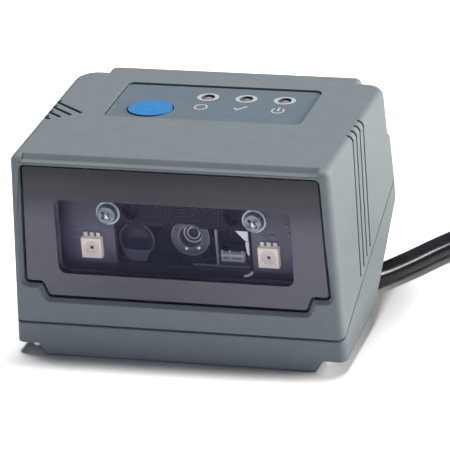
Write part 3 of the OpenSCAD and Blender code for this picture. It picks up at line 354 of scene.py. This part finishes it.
CABLE_D = 5.8
GLAND_END = Vector((31.388, 10.956, 4.3))
GLAND_TURN = 52
COIL = Vector((109.688, 19.456, 4.0))
COIL_OUT, COIL_IN = 46.4, 23.2
COIL_STEP = 8
ENTRY, LEAVE, TURNS, RISE = 105.0, 65.0, 4, 120.0
PLUG = Vector((166.488, 13.956, 4.6))
ARC_END = 4.4
INTO_PLUG = (3, 6, 9)
LEAD_STEPS, RUN_STEPS, ARC_STEPS = 4, 4, 8
FALL_START, FALL_RUN = 10, 48
LEAD = (
    (0, 0, 0), (2.6, 3.5, -0.7), (5.6, 8, -1.3), (10.6, 16, -1.4), (15.2, 24, -1.4), (20.2, 31, -1.24),
    (26.4, 36.7, -1.09), (33.4, 41.4, -0.93), (41.1, 45.2, -0.77), (49.3, 48.3, -0.61), (57.7, 51, -0.46),
    (66.29, 53.32, -0.3))


def smooth(points, steps):
    """Points along a smooth curve through a few given ones."""
    out = []
    for i in range(len(points) - 1):
        a, b = points[max(i - 1, 0)], points[i]
        c, d = points[i + 1], points[min(i + 2, len(points) - 1)]
        for k in range(steps):
            t = k / steps
            out.append(0.5 * (2 * b + (c - a) * t + (2 * a - 5 * b + 4 * c - d) * t * t
                              + (3 * b - a - 3 * c + d) * t * t * t))
    return out + [points[-1]]


def eased(share):
    """A share from 0 to 1 that starts and ends gently."""
    return (1 - math.cos(math.pi * share)) / 2


def coil_points():
    """A flat spiral inwards on the floor, a rise by one turn's height, and a spiral out on top."""
    pitch = CABLE_D / 360
    top = RISE + 360 * TURNS
    end = top + 360 * TURNS - (LEAVE + RISE - ENTRY)
    out = []
    for turned in range(COIL_STEP, int(end) + 1, COIL_STEP):
        if turned <= 360 * TURNS:
            r, lift = COIL_OUT - pitch * turned, 0
        elif turned <= top:
            r, lift = COIL_IN, eased((turned - 360 * TURNS) / RISE)
        else:
            r, lift = COIL_IN + pitch * (turned - top), 1
        angle = math.radians(ENTRY - turned)
        out.append(COIL + Vector((r * math.cos(angle), r * math.sin(angle), lift * CABLE_D)))
    return out


def tail_points(start):
    """From the top of the coil straight on, then round an arc and down to the plug."""
    bend = math.radians(LEAVE)
    ahead = Vector((math.sin(bend), -math.cos(bend), 0))
    end = Vector((PLUG.x, PLUG.y + ARC_END, 0))
    gap = end - start
    across = (1 - math.cos(bend)) * ahead.y + math.sin(bend) * ahead.x
    radius = (gap.x * ahead.y - gap.y * ahead.x) / across
    run = (gap.x - radius * (1 - math.cos(bend))) / ahead.x
    out = [start + ahead * run * k / RUN_STEPS for k in range(RUN_STEPS + 1)]
    pivot = out[-1] - radius * Vector((math.cos(bend), math.sin(bend), 0))
    for k in range(1, ARC_STEPS + 1):
        left = bend * (1 - k / ARC_STEPS)
        out.append(pivot + radius * Vector((math.cos(left), math.sin(left), 0)))
    out += [Vector((end.x, end.y - step, end.z)) for step in INTO_PLUG]
    gone = 0
    for k in range(1, len(out)):
        gone += (out[k].xy - out[k - 1].xy).length
        fall = eased(min(max((gone - FALL_START) / FALL_RUN, 0), 1))
        out[k].z = start.z + (PLUG.z - start.z) * fall
    return out[1:]


outlet = Vector((math.cos(math.radians(GLAND_TURN)), math.sin(math.radians(GLAND_TURN)), 0))
lead = smooth([GLAND_END + Vector(p) for p in LEAD], LEAD_STEPS)
coil = coil_points()
path = [p * MM for p in [GLAND_END - outlet, *lead, *coil, *tail_points(coil[-1])]]
curve = bpy.data.curves.new("cable_run", "CURVE")
curve.dimensions = "3D"
curve.bevel_depth = CABLE_D / 2 * MM
curve.bevel_resolution = 8
curve.use_fill_caps = True
line = curve.splines.new("POLY")
line.points.add(len(path) - 1)
for place, p in zip(line.points, path):
    place.co = (*p, 1)
line.use_smooth = True
cable = bpy.data.objects.new("cable_run", curve)
curve.materials.append(jacket)
bpy.context.scene.collection.objects.link(cable)
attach(cable, "reader")
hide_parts("cable", "cable_coil", "cable_tail")


# Small pieces: sizes in millimetres

def piece(name, bm, material, body="reader"):
    """A finished mesh becomes a piece that rides on a body."""
    bmesh.ops.recalc_face_normals(bm, faces=bm.faces)
    data = bpy.data.meshes.new(name)
    bm.to_mesh(data)
    bm.free()
    data.materials.append(material)
    obj = bpy.data.objects.new(name, data)
    bpy.context.scene.collection.objects.link(obj)
    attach(obj, body)
    return obj


def oval(w, d, n=40, x=0.0, y=0.0):
    """The outline of an oval round a point."""
    turns = [2 * math.pi * i / n for i in range(n)]
    return [(x + w / 2 * math.cos(t), y + d / 2 * math.sin(t)) for t in turns]


def moved(outline, x, y):
    """An outline moved sideways."""
    return [(x + px, y + py) for px, py in outline]


def solid(bm, outline, place, height, hole=None):
    """A flat solid with an outline, and maybe a hole of as many points, on a place."""
    rings = []
    for loop in ([outline] if hole is None else [outline, hole]):
        rings.append([[bm.verts.new(place @ mm(x, y, z)) for x, y in loop] for z in (0, height)])
    n = len(outline)
    for low, high in rings:
        for i in range(n):
            k = (i + 1) % n
            bm.faces.new((low[i], low[k], high[k], high[i]))
    for end in (0, 1):
        if hole is None:
            bm.faces.new(rings[0][end])
        else:
            a, b = rings[0][end], rings[1][end]
            for i in range(n):
                k = (i + 1) % n
                bm.faces.new((a[i], a[k], b[k], b[i]))


def hoop(bm, outer, inner, x, y, place, height, n=40):
    """A flat ring between two diameters."""
    solid(bm, oval(outer, outer, n, x, y), place, height, oval(inner, inner, n, x, y))


def box(bm, place, xs, ys, zs, soft=0.0):
    """A box between pairs of places, with softened edges."""
    made = bmesh.ops.create_cube(bm, size=1.0)["verts"]
    low, high = (mm(*corner) for corner in zip(xs, ys, zs))
    size = high - low
    for v in made:
        v.co = place @ (Vector([v.co[i] * size[i] for i in range(3)]) + (low + high) / 2)
    if soft:
        edges = list({e for v in made for e in v.link_edges})
        bmesh.ops.bevel(bm, geom=edges, offset=soft * MM, segments=2, affect="EDGES", profile=0.5)


def dome(bm, place, r, height, rings=6, n=24):
    """A low dome on a place."""
    loops = []
    for k in range(rings):
        t = math.pi / 2 * k / rings
        wide = 2 * r * math.cos(t)
        loops.append([bm.verts.new(place @ mm(x, y, height * math.sin(t))) for x, y in oval(wide, wide, n)])
    for a, b in zip(loops, loops[1:]):
        for i in range(n):
            k = (i + 1) % n
            bm.faces.new((a[i], a[k], b[k], b[i])).smooth = True
    tip = bm.verts.new(place @ mm(0, 0, height))
    for i in range(n):
        bm.faces.new((loops[-1][i], loops[-1][(i + 1) % n], tip)).smooth = True
    bm.faces.new(loops[0])


def facing(y):
    """A place on an upright plane: X across, Z up, and height towards the front."""
    return Matrix(((1, 0, 0, 0), (0, 0, -1, y * MM), (0, 1, 0, 0), (0, 0, 0, 1)))


# Printing on the label: a white oval round each indicator, and a plain sign in front of it

INK_T = 0.03
OVAL_W, OVAL_D, EYE_D = 5.4, 4.6, 3.5
DOME_R, DOME_SUNK = 1.15, 0.1
SIGN_STEP = 6.2
RING_SIGN_D, RING_HOLE_D = 3.4, 2.6
POWER_R, POWER_HOLE, POWER_ARC = 1.7, 0.74, range(40, 321, 14)
TICK = ((-1.5, 0.1), (-0.5, -1), (1.8, 1.3), (1.4, 1.7), (-0.5, -0.2), (-1.1, 0.5))
POWER_BAR = ((-0.25, -0.2), (0.25, -0.2), (0.25, 1.9), (-0.25, 1.9))

label_top = extent("overlay_label")[1].z
pipes_low, pipes_high = extent("light_pipes")
pipe_r = (pipes_high.y - pipes_low.y) / 2
pipe_y = (pipes_high.y + pipes_low.y) / 2
first, last = pipes_low.x + pipe_r, pipes_high.x - pipe_r
PIPES = (first, (first + last) / 2, last)
sign_y = pipe_y - SIGN_STEP
on_label = Matrix.Translation(mm(0, 0, label_top))

bm = bmesh.new()
for x in PIPES:
    solid(bm, oval(OVAL_W, OVAL_D, x=x, y=pipe_y), on_label, INK_T, oval(EYE_D, EYE_D, x=x, y=pipe_y))
piece("indicator_ovals", bm, ink)

bm = bmesh.new()
for x in PIPES:
    on_pipe = Matrix.Translation(mm(x, pipe_y, pipes_high.z))
    dome(bm, on_pipe, DOME_R, label_top - pipes_high.z - DOME_SUNK)
piece("indicator_domes", bm, rosy)

bm = bmesh.new()
hoop(bm, RING_SIGN_D, RING_HOLE_D, PIPES[0], sign_y, on_label, INK_T)
solid(bm, moved(TICK, PIPES[1], sign_y), on_label, INK_T)
solid(bm, moved(POWER_BAR, PIPES[2], sign_y), on_label, INK_T)
arc = [(POWER_R * math.sin(math.radians(a)), POWER_R * math.cos(math.radians(a))) for a in POWER_ARC]
inner = [(x * POWER_HOLE, y * POWER_HOLE) for x, y in reversed(arc)]
solid(bm, moved(arc + inner, PIPES[2], sign_y), on_label, INK_T)
piece("indicator_signs", bm, ink)


# Printed border on the front of the window, the shape of the gasket behind it

PRINT_T, PRINT_GAP = 0.04, 0.01
FRONT_NORMAL_Y = -0.9

bm = bmesh.new()
bm.from_mesh(NODES["window_gasket"].data)
bmesh.ops.transform(bm, matrix=NODES["window_gasket"].matrix_world, verts=bm.verts)
bmesh.ops.delete(bm, geom=[f for f in bm.faces if f.normal.y > FRONT_NORMAL_Y], context="FACES")
front_way = bm.faces[:][0].normal.copy()
panel = NODES["window_panel"]
lift = max((panel.matrix_world @ v.co).dot(front_way) for v in panel.data.vertices)
lift -= max(v.co.dot(front_way) for v in bm.verts)
bmesh.ops.translate(bm, vec=front_way * (lift + PRINT_GAP * MM), verts=bm.verts)
grown = bmesh.ops.extrude_face_region(bm, geom=bm.faces[:])["geom"]
front_verts = [v for v in grown if isinstance(v, bmesh.types.BMVert)]
bmesh.ops.translate(bm, vec=front_way * PRINT_T * MM, verts=front_verts)
piece("window_print", bm, border)


# Parts on the illumination board

LED_CUP = 1.0
PHOSPHOR_D, PHOSPHOR_T = 3.2, 0.06
RING_D, RING_T = 3.7, 0.07
DIE_W, DIE_H, DIE_T, DIE_SOFT = 0.76, 0.7, 0.14, 0.05
LEAD_PITCH, LEAD_W, LEAD_SOFT = 1.6, 1.0, 0.1
LEADS = (((2.6, 3.7), 0.6), ((-3.1, -2.6), 0.3))
SHADOW_RING_OUT, SHADOW_RING_IN = 5.05, 4.32
FILM_T = 0.04
PAINTED_GLINT = ((-0.2, 0.5), (0.85, -0.75), (-0.35, -0.8))
CHIP_W, CHIP_H, CHIP_T, CHIP_SOFT = 1.0, 0.54, 0.3, 0.07
CHIPS = ((-27.0, 29.5), (-26.7, 27.1), (-21.3, 30.2), (-18.9, 29.8), (19.8, 30.1), (22.2, 30.2), (25.9, 33.1),
         (26.3, 30.9))
CLIP = ((14.6, 19.2), (15.6, 19.35), (16.6, 20.0), (16.9, 20.7), (16.4, 20.7), (16.1, 20.3), (15.4, 19.8),
        (14.6, 19.65))
CLIP_T = 0.3

board_y = extent("illumination_board")[0].y
on_board = facing(board_y)
screws_low, screws_high = extent("board_screws")
screw_z = centre("board_screws").z
screw_x = screws_high.x - (screws_high.z - screws_low.z) / 2
on_washer = facing(extent("board_washers")[0].y)
on_head = facing(screws_low.y)
in_cup = facing(board_y - LED_CUP)

for name in ("left", "right"):
    x, _, z = centre(f"illumination_led_{name}")
    bm = bmesh.new()
    solid(bm, oval(PHOSPHOR_D, PHOSPHOR_D, x=x, y=z), in_cup, PHOSPHOR_T)
    piece(f"led_phosphor_{name}", bm, phosphor_glow)
    bm = bmesh.new()
    hoop(bm, RING_D, PHOSPHOR_D, x, z, in_cup, RING_T)
    piece(f"led_ring_{name}", bm, ring)
    bm = bmesh.new()
    box(bm, in_cup, (x - DIE_W / 2, x + DIE_W / 2), (z - DIE_H / 2, z + DIE_H / 2),
        (PHOSPHOR_T, PHOSPHOR_T + DIE_T), DIE_SOFT)
    piece(f"led_die_{name}", bm, epoxy)
    bm = bmesh.new()
    for k in (-LEAD_PITCH, 0, LEAD_PITCH):
        for (low, high), thick in LEADS:
            box(bm, on_board, (x + k - LEAD_W / 2, x + k + LEAD_W / 2), (z + low, z + high), (0.0, thick),
                LEAD_SOFT)
    piece(f"led_solder_{name}", bm, solder)

# Painted shade: a dark film on each washer round the screw head stands in for the shade at the head's foot.
bm = bmesh.new()
for x in (-screw_x, screw_x):
    hoop(bm, SHADOW_RING_OUT, SHADOW_RING_IN, x, screw_z, on_washer, FILM_T)
piece("washer_shadow_rings", bm, rim_dark)

# Painted glints on the screw heads: bright flecks that stand in for highlights.
bm = bmesh.new()
for x in (-screw_x, screw_x):
    solid(bm, moved(PAINTED_GLINT, x, screw_z), on_head, FILM_T)
piece("screw_glints", bm, glint_glow)

bm = bmesh.new()
for x, z in CHIPS:
    box(bm, on_board, (x - CHIP_W / 2, x + CHIP_W / 2), (z - CHIP_H / 2, z + CHIP_H / 2), (0.0, CHIP_T),
        CHIP_SOFT)
piece("board_chips", bm, rim)

bm = bmesh.new()
solid(bm, CLIP, on_board, CLIP_T)
piece("prism_clip", bm, glint_glow)


# Optics behind the window: the imager, the aimer, and the prism in its holder
# A ring is given as two diameters and a height, a box as its ranges across, up and forward and a soft edge

IMAGER_RIMS = ((9.6, 8.9, 0.12), (6.4, 5.5, 0.1))
LENS_RINGS = ((4.9, 4.1, 0.5), (3.2, 2.6, 0.25))
AIMER_RIM = (8.8, 8.2, 0.12)
PIN_D, PIN_T = 0.75, 0.2
PINS = ((-1.2, -3.0), (1.9, -2.7))
FUNNEL, FUNNEL_T = ((-3.2, -2.6), (3.2, -2.6), (2.0, -5.4), (-1.8, -5.4)), 0.3
WIRE, WIRE_T = ((-3.5, -2.8), (-3.1, -2.5), (-1.9, -4.6), (-2.3, -4.8)), 0.6
HOLDER_EDGES = (((-0.1, 0.5), (0.7, 10.5), (0.0, 0.5), 0.12), ((-6.0, 8.2), (0.5, 1.0), (0.0, 0.6), 0.15))
MIRROR, MIRROR_T = ((4.8, 10.3), (8.0, 10.3), (8.0, 7.5), (7.2, 7.7)), 0.3
MIRROR_EDGE, MIRROR_EDGE_T = ((7.3, 7.3), (8.1, 7.3), (8.1, 3.7), (7.5, 4.5)), 0.35
PRISM_BARS = (((1.0, 6.9), (3.3, 4.1), (0.0, 0.5), 0.12), ((1.3, 6.6), (2.1, 2.5), (0.0, 0.35), 0.1))
PRISM_RIBS, PRISM_RIB_W = (1.1, 3.0, 6.1), 0.45
PRISM_RIB = ((2.1, 4.9), (0.0, 0.3), 0.1)
PRISM_PLATE = ((0.9, 7.0), (1.7, 4.5), (-0.3, 0.0), 0.1)
VISOR = ((-7.4, 16.6), (31.2, 32.2), (0.6, 0.9), 0.1)

imager_x, _, imager_z = centre("imager_lens")
aimer_x, _, aimer_z = centre("aimer_lens")
holder = extent("prism_holder")[0]
on_barrels = facing(extent("imager_barrel")[0].y)
on_lens = facing(extent("imager_lens")[0].y)
on_holder = on_barrels @ Matrix.Translation(mm(holder.x, holder.z, 0))

bm = bmesh.new()
for outer, inner, height in IMAGER_RIMS:
    hoop(bm, outer, inner, imager_x, imager_z, on_barrels, height, n=64)
piece("imager_rims", bm, rim)

bm = bmesh.new()
for outer, inner, height in LENS_RINGS:
    hoop(bm, outer, inner, imager_x, imager_z, on_lens, height, n=48)
piece("lens_rings", bm, frosted)

bm = bmesh.new()
for x, z in PINS:
    solid(bm, oval(PIN_D, PIN_D, 20, imager_x + x, imager_z + z), on_barrels, PIN_T)
piece("imager_pins", bm, glint_glow)

bm = bmesh.new()
outer, inner, height = AIMER_RIM
hoop(bm, outer, inner, aimer_x, aimer_z, on_barrels, height, n=64)
piece("aimer_rim", bm, rim_dark)

bm = bmesh.new()
solid(bm, moved(FUNNEL, aimer_x, aimer_z), on_barrels, FUNNEL_T)
solid(bm, moved(WIRE, aimer_x, aimer_z), on_barrels, WIRE_T)
piece("aimer_funnel", bm, rim_dark)

bm = bmesh.new()
for edge in HOLDER_EDGES:
    box(bm, on_holder, *edge)
piece("holder_edges", bm, plate)

bm = bmesh.new()
solid(bm, MIRROR, on_holder, MIRROR_T)
solid(bm, MIRROR_EDGE, on_holder, MIRROR_EDGE_T)
piece("prism_mirror", bm, glint_glow)

bm = bmesh.new()
for bar in PRISM_BARS:
    box(bm, on_holder, *bar)
for x in PRISM_RIBS:
    box(bm, on_holder, (x, x + PRISM_RIB_W), *PRISM_RIB)
piece("prism_face", bm, frosted)

bm = bmesh.new()
box(bm, on_holder, *PRISM_PLATE)
piece("prism_plate", bm, plate)

bm = bmesh.new()
box(bm, on_barrels, *VISOR)
piece("optics_visor", bm, black)


# Plug: ribs on the grip, openings in the shell, contacts on the tongue

RIBS, RIB_FIRST, RIB_STEP = 6, 8, 2.4
RIB_LONG, RIB_THICK, RIB_HIGH, RIB_SOFT = 10.4, 1.2, 0.35, 0.15
SHELL_REACH = 44.6
OPENING_X, OPENING_W, OPENING_YS, OPENING_T = 3.0, 2.2, (5.2, 8), 0.03
CONTACTS, CONTACT_W, CONTACT_YS, CONTACT_T = (-3.5, -1.0, 1.0, 3.5), 1.0, (1.2, 9), 0.06

grip_top, shell_top = (extent(name)[1].z for name in ("plug_grip", "plug_shell"))
shell_end = PLUG.y - SHELL_REACH
flat = Matrix.Identity(4)

bm = bmesh.new()
for k in range(RIBS):
    y = PLUG.y - RIB_FIRST - RIB_STEP * k
    box(bm, flat, (PLUG.x - RIB_LONG / 2, PLUG.x + RIB_LONG / 2), (y - RIB_THICK / 2, y + RIB_THICK / 2),
        (grip_top, grip_top + RIB_HIGH), RIB_SOFT)
ribs = piece("plug_ribs", bm, grip)

bm = bmesh.new()
for side in (-1, 1):
    x = PLUG.x + side * OPENING_X
    box(bm, flat, (x - OPENING_W / 2, x + OPENING_W / 2), [shell_end + y for y in OPENING_YS],
        (shell_top, shell_top + OPENING_T))
openings = piece("plug_openings", bm, black)

tongue_low, tongue_high = (corner.z for corner in extent("plug_tongue"))
if tongue_high - PLUG.z > PLUG.z - tongue_low:
    contact_zs = (tongue_low - CONTACT_T, tongue_low)
else:
    contact_zs = (tongue_high, tongue_high + CONTACT_T)
bm = bmesh.new()
for step in CONTACTS:
    x = PLUG.x + step
    box(bm, flat, (x - CONTACT_W / 2, x + CONTACT_W / 2), [shell_end + y for y in CONTACT_YS], contact_zs)
contacts = piece("plug_contacts", bm, gold)


# Shiny studs under the lower front corners

STUD_X, STUD_Y, STUD_Z = 36.2, -28.0, 2.9
STUD_R, STUD_H = 1.5, 1.6
bm = bmesh.new()
for x in (-STUD_X, STUD_X):
    dome(bm, Matrix.Translation(mm(x, STUD_Y, STUD_Z)) @ Matrix.Rotation(math.pi, 4, "X"), STUD_R, STUD_H)
piece("corner_studs", bm, stud)


# Floor and light

FLOOR_HALF = 4.0
FLOOR_Z = -0.0001

floor_bm = bmesh.new()
bmesh.ops.create_grid(floor_bm, x_segments=2, y_segments=2, size=FLOOR_HALF)
floor_data = bpy.data.meshes.new("floor")
floor_bm.to_mesh(floor_data)
floor_bm.free()
floor = bpy.data.objects.new("floor", floor_data)
floor.location.z = FLOOR_Z
floor_data.materials.append(finish("floor_white", (0.945, 0.945, 0.945), (0.96, 0.96, 0.96), scale=20,
                                   rough=(0.6, 0.7)))
bpy.context.scene.collection.objects.link(floor)


def lamp(name, place, target, size, power, colour=(1, 1, 1)):
    """An area lamp that looks at a point."""
    data = bpy.data.lights.new(name, "AREA")
    data.shape = "RECTANGLE"
    data.size, data.size_y = size
    data.energy = power
    data.color = colour
    obj = bpy.data.objects.new(name, data)
    obj.location = place
    obj.rotation_euler = (Vector(target) - Vector(place)).to_track_quat("-Z", "Y").to_euler()
    bpy.context.scene.collection.objects.link(obj)


lamp("overhead", place=(-0.06, 0.22, 1.45), target=(0, 0, 0.02), size=(0.6, 0.2), power=29.5)
lamp("side", place=(1.15, 0.42, 0.36), target=(0, 0, 0.03), size=(0.8, 0.5), power=37,
     colour=(1.0, 0.965, 0.91))
lamp("front", place=(-0.15, -1.5, 0.055), target=(0, 0, 0.03), size=(0.8, 0.1), power=8.8,
     colour=(0.84, 0.84, 1.0))
world = bpy.data.worlds.new("studio")
bpy.context.scene.world = world
world.use_nodes = True
sky = world.node_tree.nodes["Background"]
sky.inputs["Color"].default_value = (0.9, 0.93, 1.0, 1)
sky.inputs["Strength"].default_value = 0.07
